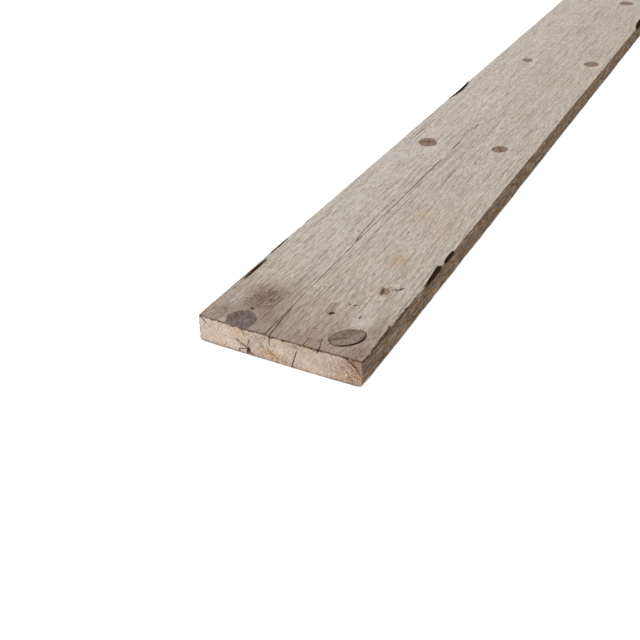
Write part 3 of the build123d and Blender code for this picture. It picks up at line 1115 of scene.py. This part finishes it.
def end_grime(x, z):
    """The dirt round the rim of the near end, in its pith and along its cracks."""
    gap = topside(x) + np.maximum(top_relief(x, 0.3 + 0 * x), -2.6) - z
    reach = 1.2 + 1.0 * wave(x / 1.3, 181, 1.5) + 0.7 * wave(x / 5.0, 183, 3.5)
    return np.maximum.reduce([
        smooth(reach + 0.4, reach - 0.7, gap) * (0.75 + 0.22 * broken_rim(x)),
        0.75 * smooth(1.6, 0.2, z - underside(x)) * (0.5 + 0.5 * wave(x / 3.0, 182)),
        0.55 * smooth(HALF_WIDTH - 3, HALF_WIDTH, np.abs(x)),
        np.minimum(1.8 * blob(x, z, PITH[0] - 0.4, PITH[1] - 1.2, 2.1, 3.4), 0.95),
        0.55 * blob(x, z, -42, 11.8, 5, 1.6),
        0.6 * blob(x, z, 9, 3.0, 3, 2) + 0.5 * blob(x, z, -17, 2.4, 4, 1.4),
        0.45 * end_crack_share(x, z, 0.7),
    ])


def end_tones(x, z):
    """The near end's clean wood, heart wood, resin, olive patch, coarse fibre and grime."""
    heart = 0.85 * smooth(72, 97, x) * smooth(6, 26, z + 0.35 * (x - 80)) + 0.35 * smooth(50, 80, x)
    streaky = 0.725 + 0.275 * layered(x / 1.8, z / 1.4, 171)
    resin = blob(x, z, -6, 9.5, 13, 5) * streaky + patches(x, z, RESIN)
    clean = 0.50 * smooth(-40, -62, x) + 0.45 * blob(x, z, 4, 14, 10, 8)
    return {
        "heart": np.clip(heart, 0, 0.85),
        "resin": np.clip(resin, 0, 0.75),
        "olive": np.clip(patches(x, z, OLIVE), 0, 0.7),
        "coarse": np.clip(patches(x, z, COARSE) + 0.12, 0, 0.9),
        "grime": unit(end_grime(x, z)),
        "clean": unit(clean),
    }


def open_side(x, y):
    """One where the loose knot's socket stands open, nought on the side that it lies against."""
    dx = x - KNOTS[LOOSE_KNOT].x
    dy = y - KNOTS[LOOSE_KNOT].y
    return smooth(0.15, 0.75, (dx * CRESCENT[0] + dy * CRESCENT[1]) / np.maximum(np.hypot(dx, dy), 1))


def knot_share(name, x, y, z, gap=0.0):
    """Distance from a knot's axis as a share of its radius, and the part of it across the knot."""
    knot = KNOTS[name]
    cx, cy, radius = knot_at(name, np.clip(z, knot.foot, EDGE_TOP))
    radius = np.maximum(radius, 0.5)
    across, along = turned(x - cx, y - cy, knot.turn)
    return np.hypot(across / (radius + gap), along / (radius * knot.oval + gap)), across


# Building the pieces


def gap_of(name):
    return LOOSE_GAP if name == LOOSE_KNOT else TIGHT_GAP


def socket_shade_share(x, y, z):
    """One on the walls of the sockets, where painted shade darkens them."""
    inside = np.zeros_like(x)
    for name in KNOTS:
        share = knot_share(name, x, y, z, gap_of(name))[0]
        wall = smooth(1.06, 1.03, share) * (topside(x) - z > 0.75)
        if name == LOOSE_KNOT:
            is_open = open_side(x, y)
            # painted shade along the open side of the loose knot's socket, and weaker shade on the walls
            # where the knot lies against them
            lip = is_open * smooth(1.09, 1.03, share) * (z > EDGE_TOP / 2)
            wall = np.maximum(wall * (0.45 + 0.55 * is_open), lip)
        inside = np.maximum(inside, wall * (y > SHADED_WALLS_FROM))
    return inside


def wane_share(x, y, z):
    """One on the dark wane, and on the dirty line along the right upper edge near the near end."""
    wane = np.zeros_like(x)
    for side, lie in WANES.values():
        depth = wane_lie(y, lie)
        inner = HALF_WIDTH - depth / WANE_X
        strip = smooth(inner - 0.5, inner + 0.5, side * x) * smooth(26, 29, z)
        wane = np.maximum(wane, smooth(0.3, 0.8, depth) * strip)
    inner = HALF_WIDTH - 1.3 - 0.9 * wave(y / 8.0, 163, 3.5) - wave(y / 2.6, 164, 7.5)
    line = smooth(inner - 0.8, inner + 0.4, x) * smooth(29.5, 31.5, z) * smooth(165, 130, y)
    return unit(np.maximum(wane, line * (0.72 + 0.28 * wave(y / 5.0, 165))))


def end_crack_depth(x, y, z):
    # painted shade in the near end's cracks and just outside their lips
    return 0.62 * end_crack_share(x, z, 0.45) * (y < END_CRACKS_TO)


def build_board(whole):
    obj = whole.carved("plank", [socket(name, gap_of(name)) for name in KNOTS], "DIFFERENCE")
    x, y, z = positions(obj)
    # painted shade on the socket walls, put into depth with the splits, pits and end cracks
    walls = 0.9 * socket_shade_share(x, y, z)
    depth = np.maximum.reduce([whole.depth_share(obj), walls, end_crack_depth(x, y, z)])
    edge = smooth(HALF_WIDTH - 7, HALF_WIDTH - 2.5, np.abs(x))
    store(obj, ring=rings(x, y, z), depth=depth, edge=edge, wane=wane_share(x, y, z))
    on_top = {name: values * (z > TONES_ABOVE) for name, values in top_tones(x, y).items()}
    store(obj, **on_top, **end_tones(x, z))
    soften(obj)
    return obj


def knot_tones(name, x, y, z, share, across):
    """How cool, sound, light, brown and dark-rimmed a knot is, and where it was freshly sawn."""
    uneven = 0.5 + 0.5 * layered(x / 7.0, y / 7.0, hash_name(name) + 40)
    tones = dict.fromkeys(("fresh", "cool", "sound", "light", "brown"), 0.0)
    rim = 0.45
    if name == END_KNOT:
        tones["cool"] = 0.40 * smooth(-60, -42, x) * uneven + 0.15 * smooth(14, 4, y)
        tones.update(fresh=1.0, light=0.1)
        rim = 0.10
    elif name == LOOSE_KNOT:
        tones.update(light=0.65 * smooth(-2.0, 3.0, across), brown=0.15 + 0.30 * uneven)
        # its dark rim is its bark ring and painted shade, darkest where the socket stands open
        rim = rim * (0.10 + 0.90 * open_side(x, y))
    elif name == SMALL_KNOT:
        tones.update(sound=0.22, brown=0.92)
        rim = 0.12
    else:
        # no two of the whorls' knots have weathered alike
        tones.update(light=0.25 * (hash_name(name) % 3) * uneven, brown=0.55 + 0.40 * uneven)
    tones["rim"] = rim * smooth(0.88, 1.0, share + 0.08 * (uneven - 0.5))
    return {**tones, "grime": end_tones(x, z)["grime"]}


def build_knot(name, whole):
    piece = name.replace("knot", "branch_knot")
    if name == END_KNOT:
        obj = whole.carved(piece, [socket(name, 0.02)], "INTERSECT")
    else:
        big = KNOTS[name].top_radius > 8
        obj = make_object(piece, *knot_mesh(name, 120 if big else 48, 18 if big else 7))
    x, y, z = positions(obj)
    shift_x, shift_y = shift_of(name)
    share, across = knot_share(name, x - shift_x, y - shift_y, z)
    depth = x * 0
    # the knot's side below its top is painted shade, down in its socket
    wall = (topside(x) - z > 0.9) & (y > SHADED_WALLS_FROM)
    if name == END_KNOT:
        depth = np.maximum(whole.depth_share(obj), end_crack_depth(x, y, z))
    if name == LOOSE_KNOT:
        is_open = open_side(x, y)
        # painted shade along the loose knot's rim where its socket stands open
        depth = 0.97 * is_open * smooth(0.905, 0.935, share)
        wall = wall * (0.45 + 0.55 * is_open)
    for path, half_width, strength in KNOT_CRACKS.get(name, []):
        depth = np.maximum(depth, strength * path_mask(x, y, path, half_width) * (z > KNOT_CRACKS_ABOVE))
    store(obj, radial=share, depth=np.maximum(depth, 0.88 * wall))
    store(obj, **knot_tones(name, x, y, z, share, across))
    soften(obj)
    return obj


def wane_points(side, lie, height, reach, y):
    """Points this high off the wane and this far across it from its outer edge, kept inside the board."""
    x = side * (HALF_WIDTH - WANE_X * (lie - height) + WANE_Z * reach)
    z = EDGE_TOP - WANE_Z * (lie - height) - WANE_X * reach
    x = side * np.minimum(side * x, HALF_WIDTH - 0.05)
    return np.stack([x.ravel(), y.ravel(), np.minimum(z, EDGE_TOP - 0.15).ravel()], 1)


def build_bark(node):
    """A flaky slip of bark on the wane: a grid of points along it and across it, closed underneath."""
    side, shape = WANES[node]
    low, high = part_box(node)
    start = low.y / MM + LENGTH / 2 + 0.4
    stop = high.y / MM + LENGTH / 2 - 0.4
    steps = np.linspace(start, stop, int((stop - start) / 0.9) + 2)
    y, t = np.meshgrid(steps, np.linspace(0.0, 1.0, 13), indexing="ij")
    lie = wane_lie(y, shape)
    width = lie / WANE_X / WANE_Z
    reach = (t - 1.0) * width * 0.92 + lie / math.tan(WANE_SLOPE) * 0.9
    taper = np.sin(unit((y - start) / (stop - start)) * math.pi) ** 0.35
    thick = shape[2] / 2 * np.sin(np.clip(t, 0.02, 0.98) * math.pi) ** 0.4 * taper
    thick = thick * (0.75 + 0.35 * layered(y / 3.0, t * 4, hash_name(node)))
    thick = np.minimum(np.maximum(thick, 0.05), np.maximum(lie - 0.05, 0.06))
    outer = wane_points(side, lie, thick, reach, y)
    inner = wane_points(side, lie, -0.15, reach, y)
    index = np.arange(y.size).reshape(y.shape)
    upper = np.stack([index[:-1, :-1], index[1:, :-1], index[1:, 1:], index[:-1, 1:]], -1).reshape(-1, 4)
    lower = upper[:, ::-1] + y.size
    rim = np.concatenate([index[0, :-1], index[:-1, -1], index[-1, :0:-1], index[:0:-1, 0]])
    ahead = np.roll(rim, -1)
    walls = np.stack([rim, ahead, ahead + y.size, rim + y.size], 1)
    faces = np.concatenate([upper, lower, walls]).tolist()
    obj = make_object(node.replace("bark", "bark_slip"), np.concatenate([outer, inner]), faces)
    soften(obj, 60)
    return obj


def place(obj, node, slot, material):
    obj.data.materials.clear()
    obj.data.materials.append(material)
    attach(obj, "root")
    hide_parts(node)


def build_plank():
    whole = WholeBoard()
    pine_material = pine()
    knot_material = knot_wood()
    bark_material = bark()
    place(build_board(whole), "board", "weathered_pine", pine_material)
    for name in KNOTS:
        place(build_knot(name, whole), name, "dead_knot", knot_material)
    for name in WANES:
        place(build_bark(name), name, "bark", bark_material)


# Floor, light and camera

FLOOR_REACH = 12.0  # metres from its middle to each side
WORLD_LIGHT = 0.62
KEY_LIGHT = 3.1
KEY_SOFTNESS = math.radians(35)
KEY_DIRECTION = (-0.45, 0.75, -1.5)
CAMERA_AZIMUTH = math.radians(27.034)
CAMERA_ELEVATION = math.radians(32.580)
SENSOR_WIDTH = 36.0
FOCAL_LENGTH = 53.52525
# Metres to the camera from midway between the near end's lower corners: backwards, and to the right and up as
# the picture shows them
CAMERA_BACK, CAMERA_RIGHT, CAMERA_UP = 0.99487, 0.044045, 0.043794


def build_floor():
    mesh = bpy.data.meshes.new("floor")
    corners = [(x * FLOOR_REACH, y * FLOOR_REACH, 0) for x, y in ((-1, -1), (1, -1), (1, 1), (-1, 1))]
    mesh.from_pydata(corners, [], [(0, 1, 2, 3)])
    mesh.materials.append(Graph("pale_floor").finish(FLOOR_WHITE, 0.9))
    add_object("floor", mesh)


def build_light():
    world = bpy.data.worlds.new("studio")
    world.use_nodes = True
    background = world.node_tree.nodes["Background"]
    background.inputs["Color"].default_value = (1.0, 1.0, 1.0, 1.0)
    background.inputs["Strength"].default_value = WORLD_LIGHT
    bpy.context.scene.world = world
    key = bpy.data.lights.new("key", "SUN")
    key.energy = KEY_LIGHT
    key.angle = KEY_SOFTNESS
    add_object("key", key).rotation_euler = Vector(KEY_DIRECTION).to_track_quat("-Z", "Y").to_euler()


def build_camera():
    level = math.cos(CAMERA_ELEVATION)
    back_x, back_y = math.sin(CAMERA_AZIMUTH) * level, -math.cos(CAMERA_AZIMUTH) * level
    back = Vector((back_x, back_y, math.sin(CAMERA_ELEVATION)))
    right = Vector((math.cos(CAMERA_AZIMUTH), math.sin(CAMERA_AZIMUTH), 0))
    up = back.cross(right)
    between_corners = Vector((0, board_low.y, CUP * MM))
    data = bpy.data.cameras.new("camera")
    data.sensor_width = SENSOR_WIDTH
    data.lens = FOCAL_LENGTH
    data.clip_start = 0.01
    camera = add_object("camera", data)
    camera.location = between_corners + back * CAMERA_BACK + right * CAMERA_RIGHT + up * CAMERA_UP
    camera.rotation_euler = back.to_track_quat("Z", "Y").to_euler()
    bpy.context.scene.camera = camera


build_plank()
build_floor()
build_light()
build_camera()
bpy.context.scene.view_settings.view_transform = "Standard"
